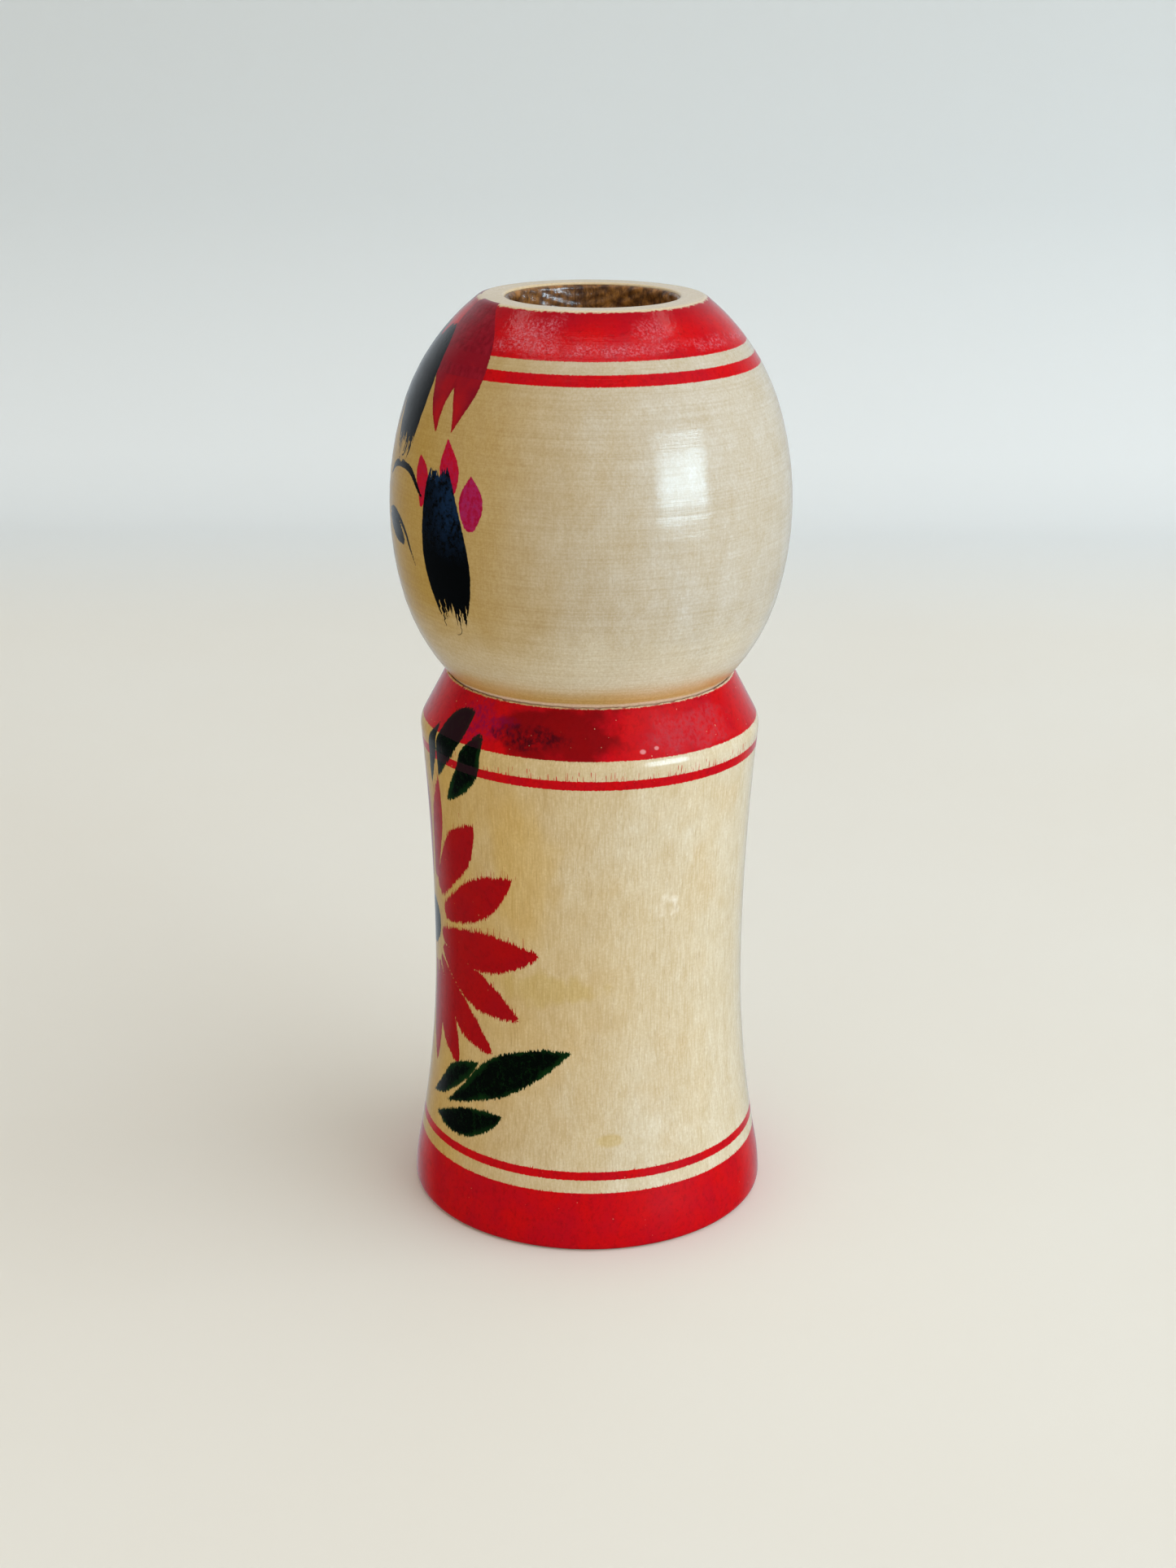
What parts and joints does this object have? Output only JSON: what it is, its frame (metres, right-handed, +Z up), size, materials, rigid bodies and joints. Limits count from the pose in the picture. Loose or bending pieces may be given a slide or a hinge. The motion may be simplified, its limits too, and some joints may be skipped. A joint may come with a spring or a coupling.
{
  "type": "kokeshi doll",
  "caption": "Lathe-turned wooden kokeshi doll with a turning head on a tenon, open at the crown into a coated well for a stem.",
  "frame": {"origin": "centre of the base, on the surface the doll stands on", "axes": "+Z up along the turning axis, the face looks along -Y, the doll's left hand side is +X"},
  "size_m": [0.0594, 0.0594, 0.14],
  "materials": {
    "body_wood": "waxed, painted in red, green and black dye",
    "head_wood": "waxed, painted in red and black dye",
    "brown_lacquer": "gloss"
  },
  "bodies": {
    "body": {"body": "body_wood"},
    "head": {"head": "head_wood", "well_coat": "brown_lacquer"}
  },
  "joints": [
    {"name": "head_turn", "type": "hinge", "parent": "body", "child": "head", "pos_m": [0, 0, 0.0825], "axis": [0, 0, 1], "continuous": true}
  ]
}
